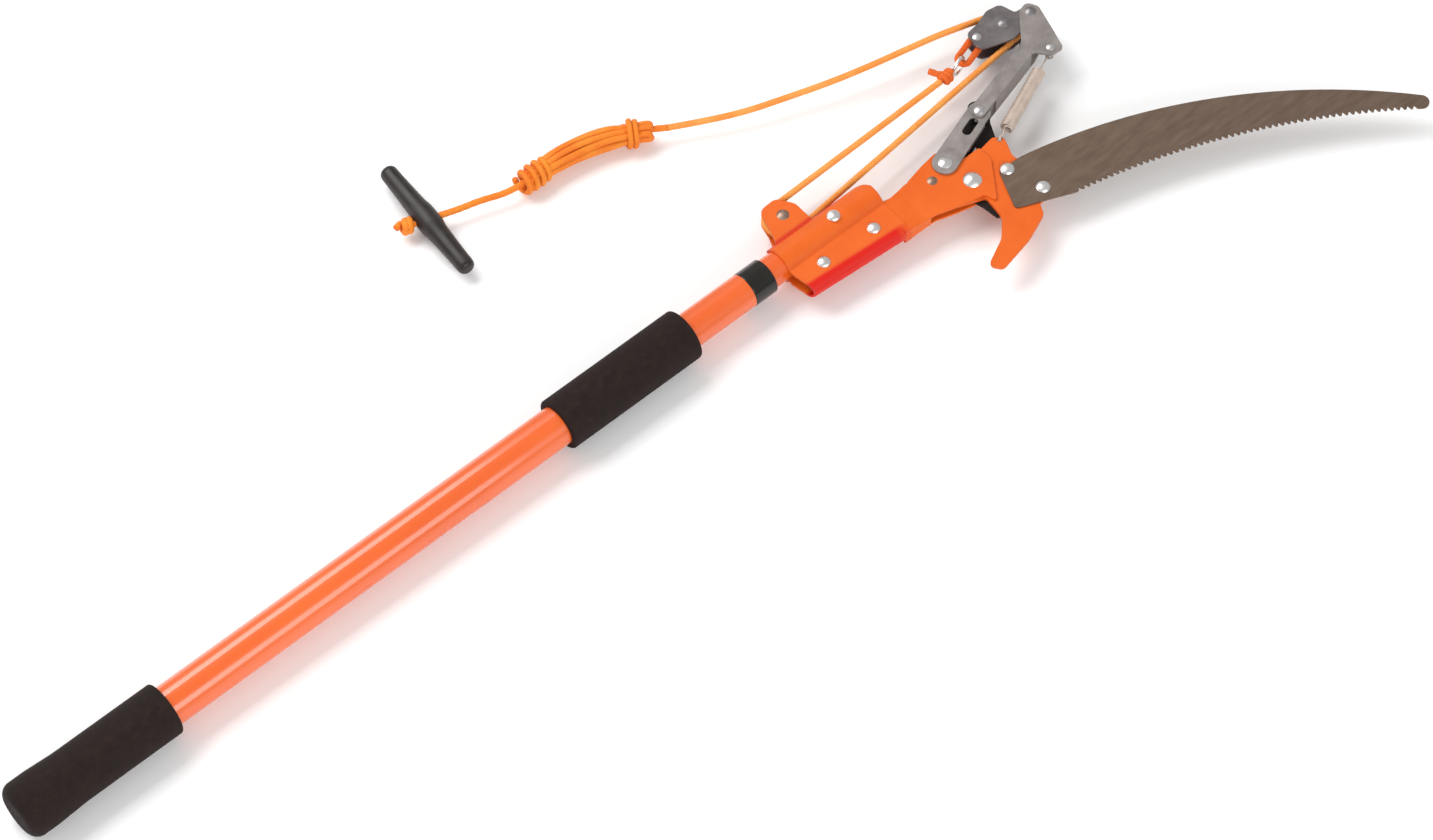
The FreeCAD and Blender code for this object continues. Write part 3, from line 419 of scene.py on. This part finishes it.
def surface(name, main, second, rough, spread=0.12, metal=0.0, blotch=50, grain=900, dent=0.15,
            stretch=(1, 1, 1), coat=0.0, edge=0.35, shine=0.35, rounded=0.0):
    """Finish with two close colours, uneven gloss and fine relief, placed by the piece's own metres."""
    mat = bpy.data.materials.new(name)
    mat.use_nodes = True
    tree = mat.node_tree
    add, link = tree.nodes.new, tree.links.new
    skin = tree.nodes["Principled BSDF"]
    place = add("ShaderNodeTexCoord")
    grid = add("ShaderNodeMapping")
    grid.inputs["Scale"].default_value = stretch
    link(place.outputs["Object"], grid.inputs["Vector"])
    cloud = add("ShaderNodeTexNoise")
    cloud.inputs["Scale"].default_value = blotch
    cloud.inputs["Detail"].default_value = 6
    cloud.inputs["Roughness"].default_value = 0.6
    link(grid.outputs["Vector"], cloud.inputs["Vector"])
    speck = add("ShaderNodeTexNoise")
    speck.inputs["Scale"].default_value = grain
    speck.inputs["Detail"].default_value = 3
    link(grid.outputs["Vector"], speck.inputs["Vector"])
    ramp = add("ShaderNodeValToRGB")
    ramp.color_ramp.elements[0].position = 0.5 - edge / 2
    ramp.color_ramp.elements[0].color = (*main, 1)
    ramp.color_ramp.elements[1].position = 0.5 + edge / 2
    ramp.color_ramp.elements[1].color = (*second, 1)
    link(cloud.outputs["Fac"], ramp.inputs["Fac"])
    link(ramp.outputs["Color"], skin.inputs["Base Color"])
    gloss = add("ShaderNodeMapRange")
    gloss.inputs["From Min"].default_value = 0.3
    gloss.inputs["From Max"].default_value = 0.7
    gloss.inputs["To Min"].default_value = rough - spread / 2
    gloss.inputs["To Max"].default_value = rough + spread / 2
    link(cloud.outputs["Fac"], gloss.inputs["Value"])
    link(gloss.outputs["Result"], skin.inputs["Roughness"])
    bump = add("ShaderNodeBump")
    bump.inputs["Strength"].default_value = dent
    bump.inputs["Distance"].default_value = 0.0002
    link(speck.outputs["Fac"], bump.inputs["Height"])
    if rounded:
        eased = add("ShaderNodeBevel")
        eased.samples = 4
        eased.inputs["Radius"].default_value = rounded
        link(eased.outputs["Normal"], bump.inputs["Normal"])
    link(bump.outputs["Normal"], skin.inputs["Normal"])
    skin.inputs["Metallic"].default_value = metal
    skin.inputs["Specular IOR Level"].default_value = shine
    skin.inputs["Coat Weight"].default_value = coat
    skin.inputs["Coat Roughness"].default_value = 0.08
    return mat


toggle_way = Vector((sin(radians(5)), cos(radians(5)), 0))
toggle_half = 0.0565
toggle_profile = [(-1.0, 0.0), (-1.0, 3.6), (-0.992, 4.9), (-0.975, 6.0), (-0.95, 6.8),
                  (-0.92, 7.1), (-0.84, 7.2), (-0.80, 7.2), (-0.60, 7.6), (-0.40, 8.1),
                  (-0.24, 8.6), (-0.16, 9.4), (-0.12, 9.6), (0, 9.7)]
toggle_profile += [(-reach, radius) for reach, radius in reversed(toggle_profile[:-1])]
toggle = spin_round("toggle_handle", [(reach * toggle_half, max(radius, 0.05) / 1000)
                                      for reach, radius in toggle_profile], 48,
                    Vector((0.537, 0.2118, -0.010)), toggle_way)
toggle_paint = surface("toggle_black", (0.014, 0.010, 0.010), (0.030, 0.022, 0.022), 0.42, 0.14,
                       blotch=90, grain=1600, dent=0.25)
toggle.data.materials.append(toggle_paint)
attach(toggle, "head")
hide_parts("toggle")

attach(hank, "head")
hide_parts("rope_hank", "rope_tail", "rope_in_toggle")

# ---- Tackle rope -------------------------------------------------------------------------
# The same rope pulled tight between the sheaves: from the knot round the lower sheave, back to the
# upper sheave and round it.
upper_sheave, lower_sheave, pitch_r = Vector((0.987, 0.054, 0)), Vector((0.737, 0.0294, 0)), 0.014


def wrap_route(centre, start, end):
    """Line of the rope round a sheave from one angle to the other (degrees)."""
    parts = 12
    step = (end - start) / parts
    bulge = pitch_r / cos(radians(step / 2))
    places = [centre + Vector((cos(radians(start)), sin(radians(start)), 0)) * pitch_r]
    for k in range(parts):
        a = radians(start + step * (k + 0.5))
        places.append(centre + Vector((cos(a), sin(a), 0)) * bulge)
    places.append(centre + Vector((cos(radians(end)), sin(radians(end)), 0)) * pitch_r)
    return places


def straight_route(start, end):
    """Line of a tight stretch of rope."""
    return [start.lerp(end, k / 6) for k in range(7)]


def tackle_rope(name, route, node, body, steps):
    """One stretch of the tackle; gives back the piece, its line and its length."""
    line = read_line(name, route, steps)
    piece = wind_tube(name + "_braid", line, rope_thick, 20, braid_relief)
    piece.data.materials.append(rope_paint)
    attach(piece, body)
    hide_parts(node)
    length = sum((b - a).length for a, b in zip(line, line[1:]))
    return piece, line, length


over_angle = 91.28
under_angle = -84.38
wrap_past = 18        # the lower wrap runs on over the start of the straight part, to hide the joint
lead_leaves = 71.7
knot_end = Vector((0.9151, 0.0475, 0))
high_over = lower_sheave + Vector((cos(radians(over_angle)), sin(radians(over_angle)), 0)) * pitch_r
low_under = lower_sheave + Vector((cos(radians(under_angle)), sin(radians(under_angle)), 0)) * pitch_r
high_under = upper_sheave + Vector((cos(radians(under_angle)), sin(radians(under_angle)), 0)) * pitch_r

strand_1, line_1, length_1 = tackle_rope("strand_to_knot", straight_route(high_over, knot_end),
                                         "rope_strand_1", "head", 30)
lower_route = wrap_route(lower_sheave, over_angle, under_angle + 360 + wrap_past)
wrap_low, line_2, length_2 = tackle_rope("wrap_lower", lower_route, "rope_lower_wrap", "head", 5)
strand_2, line_3, length_3 = tackle_rope("strand_between", straight_route(low_under, high_under),
                                         "rope_strand_2", "head", 42)
upper_route = wrap_route(upper_sheave, under_angle, lead_leaves)
wrap_high, line_4, length_4 = tackle_rope("wrap_upper", upper_route, "rope_upper_wrap", "block", 5)

# ---- Becket: loop, ring and knot ---------------------------------------------------------
# The rope's fixed end: knotted to a wire ring that hangs on a small closed loop on the block's pin.
loop_near, loop_far = Vector((0.962, 0.0575, 0)), Vector((0.9435, 0.0518, 0))
loop_way = (loop_near - loop_far).normalized()
loop_side = Vector((-loop_way.y, loop_way.x, 0))
loop_bend = 0.0049
loop_places = []
for centre, way in ((loop_near, 1), (loop_far, -1)):
    for k in range(13):
        a = -pi / 2 + pi * k / 12
        loop_places.append(centre + (loop_way * cos(a) + loop_side * sin(a)) * (loop_bend * way))
    for k in range(1, 9):
        foot = loop_near if way == 1 else loop_far
        goal = loop_far if way == 1 else loop_near
        loop_places.append(foot.lerp(goal, k / 9) + loop_side * (loop_bend * way))
knot_paint = rope_fibre("rope_knot_orange", (0.88, 0.21, 0.03), (0.78, 0.11, 0.012),
                        (0.38, 0.035, 0.006))
becket_loop = wind_tube("becket_rope_loop", loop_places, rope_thick, 18, braid_relief, closed=True)
becket_loop.data.materials.append(knot_paint)
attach(becket_loop, "block")
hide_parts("becket_loop")

knot_centre = Vector((0.9215, 0.0476, 0))
knot_out = Vector((-7.0, 11.0, 2.0)).normalized()
lay_way = Vector((0.96, 0.12, 0.0)).normalized()
lay_side = Vector((-lay_way.y, lay_way.x, 0))
places = [knot_centre - lay_way * 0.0058]
for k in range(29):
    a = 2 * pi * k / 12
    places.append(knot_centre + lay_way * (-0.0042 + 0.0088 * k / 28)
                  + (lay_side * cos(a) + Vector((0, 0, 1)) * sin(a)) * 0.0033)
places += [knot_centre + knot_out * reach for reach in (0.0058, 0.010, 0.0148)]
end_knot = wind_tube("becket_knot", read_line("becket_knot", places, 4), 0.0048, 16, braid_relief)
end_knot.data.materials.append(knot_paint)
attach(end_knot, "block")
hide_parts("end_knot")

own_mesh(strand_1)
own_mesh(strand_2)

# ---- Pole tubes --------------------------------------------------------------------------
# Three drawn tubes that slide in each other, taken as steel, powder coated glossy orange.


def dress(mat, *names):
    """Give the shaped solids their finish."""
    for name in names:
        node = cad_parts[name]
        for place in node.material_slots:
            place.material = mat


tube_paint = surface("tube_orange", (0.70, 0.098, 0.008), (0.76, 0.120, 0.012), 0.28, 0.06, blotch=18,
                     grain=1400, dent=0.05, stretch=(0.35, 1, 1), coat=0.6, shine=0.5)
dress(tube_paint, "outer_tube", "middle_tube", "inner_tube")

# ---- Foam grips and black plastics -------------------------------------------------------
# Closed-cell foam sleeves with an open skin of fine cells; moulded guides, plug and twist collar.


def foam_skin(name, main, second):
    """Matt foam, pitted all over with fine cells."""
    mat = surface(name, main, second, 0.78, 0.16, blotch=140, grain=1100, dent=0.0)
    tree = mat.node_tree
    add, link = tree.nodes.new, tree.links.new
    skin = tree.nodes["Principled BSDF"]
    place = add("ShaderNodeTexCoord")
    cells = add("ShaderNodeTexVoronoi")
    cells.inputs["Scale"].default_value = 850
    link(place.outputs["Object"], cells.inputs["Vector"])
    fuzz = add("ShaderNodeTexNoise")
    fuzz.inputs["Scale"].default_value = 420
    fuzz.inputs["Detail"].default_value = 5
    link(place.outputs["Object"], fuzz.inputs["Vector"])
    height = add("ShaderNodeMath")
    height.operation = "ADD"
    link(cells.outputs["Distance"], height.inputs[0])
    link(fuzz.outputs["Fac"], height.inputs[1])
    bump = add("ShaderNodeBump")
    bump.inputs["Strength"].default_value = 0.55
    bump.inputs["Distance"].default_value = 0.0006
    link(height.outputs[0], bump.inputs["Height"])
    link(bump.outputs["Normal"], skin.inputs["Normal"])
    skin.inputs["Specular IOR Level"].default_value = 0.15
    return mat


dress(foam_skin("foam", (0.012, 0.007, 0.006), (0.024, 0.014, 0.012)), "bottom_grip", "mid_grip")
dress(surface("black_plastic", (0.02, 0.02, 0.02), (0.035, 0.033, 0.032), 0.5, 0.15, grain=1500,
              dent=0.2), "end_plug", "middle_guide", "inner_guide")
dress(surface("gloss_black", (0.006, 0.0055, 0.005), (0.016, 0.013, 0.009), 0.20, 0.08, grain=700,
              dent=0.05, coat=0.25, shine=0.3), "lock_collar")

# ---- Bracket and hook plate --------------------------------------------------------------
# Folded and pressed steel, enamelled the same orange, a shade deeper than the tubes.
def enamel(name, shade_fold_and_crease):
    """Orange enamel; with the second argument true, painted shade in deep red along the socket's lower
    fold and in its upper crease.
    """
    # Painted shade: deep red on the socket's lower fold, which faces away from the light.
    fold_shade_from, fold_shade_full = -0.0210, -0.0170
    socket_end, socket_full = 0.806, 0.790
    mat = surface(name, (0.68, 0.108, 0.010), (0.74, 0.130, 0.013), 0.42, 0.12, blotch=35,
                  grain=800, dent=0.12, shine=0.25, rounded=0.0006)
    if not shade_fold_and_crease:
        return mat
    tree = mat.node_tree
    add, link = tree.nodes.new, tree.links.new
    skin = tree.nodes["Principled BSDF"]
    plain = skin.inputs["Base Color"].links[0].from_socket
    place = add("ShaderNodeTexCoord")
    lean = add("ShaderNodeVectorMath")
    lean.operation = "DOT_PRODUCT"
    lean.inputs[1].default_value = (-0.0684, -1.0, 0)
    link(place.outputs["Object"], lean.inputs[0])
    deep = add("ShaderNodeMapRange")
    deep.interpolation_type = "SMOOTHSTEP"
    deep.inputs["From Min"].default_value = fold_shade_from
    deep.inputs["From Max"].default_value = fold_shade_full
    link(lean.outputs["Value"], deep.inputs["Value"])
    split = add("ShaderNodeSeparateXYZ")
    link(place.outputs["Object"], split.inputs["Vector"])
    socket = add("ShaderNodeMapRange")
    socket.interpolation_type = "SMOOTHSTEP"
    socket.inputs["From Min"].default_value = socket_end
    socket.inputs["From Max"].default_value = socket_full
    link(split.outputs["X"], socket.inputs["Value"])
    fold_shade = add("ShaderNodeMath")
    fold_shade.operation = "MULTIPLY"
    link(deep.outputs["Result"], fold_shade.inputs[0])
    link(socket.outputs["Result"], fold_shade.inputs[1])
    # Painted shade in the upper crease between the socket's bulge and the ears.
    crease_shade_edges = [("Y", 0.0080, 0.0115), ("Y", 0.0165, 0.0135), ("X", socket_full, 0.768)]
    for number, (axis, none, full) in enumerate(crease_shade_edges):
        part = add("ShaderNodeMapRange")
        part.interpolation_type = "SMOOTHSTEP"
        part.inputs["From Min"].default_value = none
        part.inputs["From Max"].default_value = full
        part.inputs["To Max"].default_value = 0.75 if number == 0 else 1.0
        link(split.outputs[axis], part.inputs["Value"])
        if number == 0:
            crease_shade = part.outputs["Result"]
        else:
            both = add("ShaderNodeMath")
            both.operation = "MULTIPLY"
            link(crease_shade, both.inputs[0])
            link(part.outputs["Result"], both.inputs[1])
            crease_shade = both.outputs[0]
    share = add("ShaderNodeMath")
    share.operation = "MAXIMUM"
    link(fold_shade.outputs[0], share.inputs[0])
    link(crease_shade, share.inputs[1])
    shade_mix = add("ShaderNodeMix")
    shade_mix.data_type = "RGBA"
    link(share.outputs[0], shade_mix.inputs["Factor"])
    link(plain, shade_mix.inputs["A"])
    # The deep red that stands for the shade on the fold and in the crease.
    shade_mix.inputs["B"].default_value = (0.62, 0.012, 0.005, 1)
    link(shade_mix.outputs["Result"], skin.inputs["Base Color"])
    return mat


# The bracket gets the painted shade on its fold and crease; the hook plate and spacer are plain orange.
dress(enamel("bracket_orange_painted_shade", True), "bracket")
dress(enamel("head_orange", False), "hook_plate", "neck_spacer")

# ---- Blades ------------------------------------------------------------------------------
# Hardened steel: the saw is ground grey-brown steel, the pruning blade behind the hook is black.
saw_paint = surface("saw_steel", (0.150, 0.098, 0.070), (0.205, 0.145, 0.108), 0.42, 0.14, metal=0.55,
                    blotch=55, grain=500, dent=0.12, stretch=(1.0, 4.0, 1), edge=0.5, rounded=0.0004)
dress(saw_paint, "saw_blade")
# The black also covers the steel back link: painted shade for the dark gap between the links.
dress(surface("blade_black", (0.008, 0.006, 0.006), (0.016, 0.012, 0.011), 0.60, 0.2, metal=0.0,
              blotch=60, shine=0.15), "cutting_blade", "drive_pin", "back_link")

# ---- Fasteners ---------------------------------------------------------------------------
# Domed screws, hex nuts, rivets and pins: polished, bright zinc, dull zinc or brown.
chrome_paint = surface("chrome", (0.78, 0.76, 0.74), (0.90, 0.89, 0.88), 0.30, 0.10, metal=1.0,
                       blotch=120, grain=2200, dent=0.08)
zinc_paint = surface("zinc", (0.55, 0.54, 0.55), (0.74, 0.72, 0.70), 0.30, 0.16, metal=1.0,
                     blotch=150, grain=1800, dent=0.15)
dress(chrome_paint, "pivot_bolt", "lever_pivot_rivet", "becket_ring")
dress(zinc_paint, "bracket_nuts", "pivot_nut", "arm_rivet", "spring_pin", "becket_pin")
dress(surface("brown_rivet", (0.24, 0.15, 0.11), (0.40, 0.28, 0.22), 0.38, 0.15, metal=0.7,
              blotch=200), "neck_rivet", "lower_sheave_pin")
dress(surface("dull_zinc", (0.20, 0.19, 0.20), (0.30, 0.28, 0.28), 0.40, 0.15, metal=0.8,
              blotch=200), "upper_sheave_pin", "block_pivot")

screws_on_marks = bpy.data.node_groups.new("screws_on_marks", "GeometryNodeTree")
sockets = screws_on_marks.interface
sockets.new_socket("Marks", in_out="INPUT", socket_type="NodeSocketGeometry")
screw_socket = sockets.new_socket("Screw", in_out="INPUT", socket_type="NodeSocketObject")
size_socket = sockets.new_socket("Size", in_out="INPUT", socket_type="NodeSocketFloat")
seed_socket = sockets.new_socket("Seed", in_out="INPUT", socket_type="NodeSocketInt")
sockets.new_socket("Screws", in_out="OUTPUT", socket_type="NodeSocketGeometry")
step = screws_on_marks.nodes.new
join = screws_on_marks.links.new
marks_in, screws_out = step("NodeGroupInput"), step("NodeGroupOutput")
pattern = step("GeometryNodeObjectInfo")
random_turn = step("FunctionNodeRandomValue")
random_turn.data_type = "FLOAT"
random_turn.inputs["Max"].default_value = 6.283
tip = step("ShaderNodeCombineXYZ")
copies = step("GeometryNodeInstanceOnPoints")
solid = step("GeometryNodeRealizeInstances")
painted = step("GeometryNodeSetMaterial")
painted.inputs["Material"].default_value = chrome_paint
join(marks_in.outputs["Screw"], pattern.inputs["Object"])
join(marks_in.outputs["Seed"], random_turn.inputs["Seed"])
join(random_turn.outputs["Value"], tip.inputs["Z"])
join(marks_in.outputs["Marks"], copies.inputs["Points"])
join(pattern.outputs["Geometry"], copies.inputs["Instance"])
join(tip.outputs["Vector"], copies.inputs["Rotation"])
join(marks_in.outputs["Size"], copies.inputs["Scale"])
join(copies.outputs["Instances"], solid.inputs["Geometry"])
join(solid.outputs["Geometry"], painted.inputs["Geometry"])
join(painted.outputs["Geometry"], screws_out.inputs["Screws"])


def set_screws(name, marks, head_r, head_h, shank_r, shank_len, seed):
    """Domed screws with a thin pressed rim, heads up, one on each mark. Sizes in millimetres."""
    rim_h, dome_r = 0.52, head_r - 0.35
    profile = [(-shank_len, shank_r - 0.4), (-shank_len + 0.4, shank_r), (0.0, shank_r),
               (0.0, head_r - 0.1), (0.12, head_r), (0.38, head_r), (0.5, head_r - 0.1),
               (rim_h, dome_r)]
    for k in range(1, 9):
        a = k * pi / 16
        profile.append((rim_h + (head_h - rim_h) * sin(a), max(dome_r * cos(a), 0.02)))
    profile = [(reach / 1000, radius / 1000) for reach, radius in profile]
    single = spin_round(name + "_pattern", profile, 40, Vector((0, 0, 0)), Vector((0, 0, 1)))
    mesh = bpy.data.meshes.new(name)
    mesh.from_pydata(marks, [], [])
    piece = bpy.data.objects.new(name, mesh)
    bpy.context.scene.collection.objects.link(piece)
    steps = piece.modifiers.new("screws", "NODES")
    steps.node_group = screws_on_marks
    steps[screw_socket.identifier] = single
    steps[size_socket.identifier] = 1.0
    steps[seed_socket.identifier] = seed
    bpy.context.view_layer.update()
    ready = piece.evaluated_get(bpy.context.evaluated_depsgraph_get())
    shaped = bpy.data.meshes.new_from_object(ready)
    piece.modifiers.clear()
    piece.data = shaped
    shaped.polygons.foreach_set("use_smooth", [True] * len(shaped.polygons))
    bpy.data.objects.remove(single)
    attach(piece, "head")
    return piece


flange_marks = [(0.732, -0.023, 0.0075), (0.781, -0.0245, 0.0075)]
saw_marks = [(0.896, -0.049, 0.0044), (0.9055, -0.079, 0.0044)]
screw_shank_r = 2.95
flange_screws = set_screws("flange_screws", flange_marks, 5.2, 2.4, screw_shank_r, 20.0, 3)
tube_screw = set_screws("tube_screw", [(0.762, 0.0, 0.0148)], 5.2, 2.4, screw_shank_r, 34.6, 5)
saw_screws = set_screws("saw_plate_screws", saw_marks, 5.6, 2.6, screw_shank_r, 4.4, 7)
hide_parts("bracket_bolts")
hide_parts("bracket_bolts")
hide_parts("saw_screws")

# ---- Lever, pulley block and sheaves -----------------------------------------------------
# Pressed steel plates in dull grey zinc, the block's darker than the lever's, and grooved nylon wheels.
lever_paint = surface("lever_zinc", (0.265, 0.235, 0.222), (0.360, 0.322, 0.305), 0.42, 0.16,
                      metal=0.55, blotch=90, grain=900, dent=0.2, rounded=0.0005)
block_paint = surface("block_zinc", (0.140, 0.124, 0.127), (0.215, 0.190, 0.192), 0.42, 0.16,
                      metal=0.55, blotch=90, grain=900, dent=0.2, rounded=0.0005)
dress(lever_paint, "front_link", "lever_arm")
dress(block_paint, "block_front", "block_back")
dress(surface("sheave_plastic", (0.05, 0.045, 0.045), (0.09, 0.08, 0.08), 0.45, 0.15, blotch=120,
              grain=1500), "lower_sheave", "upper_sheave")

# ---- Return spring -----------------------------------------------------------------------
# Extension spring wound from 1.4 mm wire: a standing eye below, close coils, a flat eye above.
spring_low, spring_high = Vector((0.911, -0.024, 0.0015)), Vector((0.9975, 0.012, 0.0015))
spring_way = (spring_high - spring_low).normalized()
spring_side = Vector((-spring_way.y, spring_way.x, 0))
spring_up = Vector((0, 0, 1))
coil_start, coil_end, coil_r, wire = 0.012, 0.074, 0.0048, 0.0014
low_eye_r, high_eye_r, leg_r, turns = 0.0034, 0.0033, 0.001, 41
places = []
for k in range(15):
    a = pi * (0.25 + 1.75 * k / 14)
    places.append(spring_low + spring_way * (0.0022 + low_eye_r * cos(a))
                  + spring_up * (low_eye_r * sin(a)))
places.append(spring_low + spring_way * 0.0085)
for k in range(turns * 16 + 1):
    a = 2 * pi * k / 16
    share = k / (turns * 16)
    swell = min(1, k / 6, (turns * 16 - k) / 6)
    r = leg_r + (coil_r - leg_r) * swell
    places.append(spring_low + spring_way * (coil_start + (coil_end - coil_start) * share)
                  + spring_side * (r * cos(a)) + spring_up * (r * sin(a)))
places.append(spring_low + spring_way * (coil_end + 0.003))
for k in range(17):
    a = pi - 2 * pi * 0.93 * k / 16
    places.append(spring_high + spring_way * (high_eye_r * cos(a))
                  + spring_side * (high_eye_r * sin(a)))
spring = wind_tube("return_spring_wire", places, wire, 8)
spring_paint = surface("spring_steel", (0.50, 0.41, 0.35), (0.64, 0.54, 0.46), 0.40, 0.12,
                       metal=0.35, blotch=150, grain=2500, dent=0.1)
spring.data.materials.append(spring_paint)
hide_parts("return_spring", "spring_hook")
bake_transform(spring)
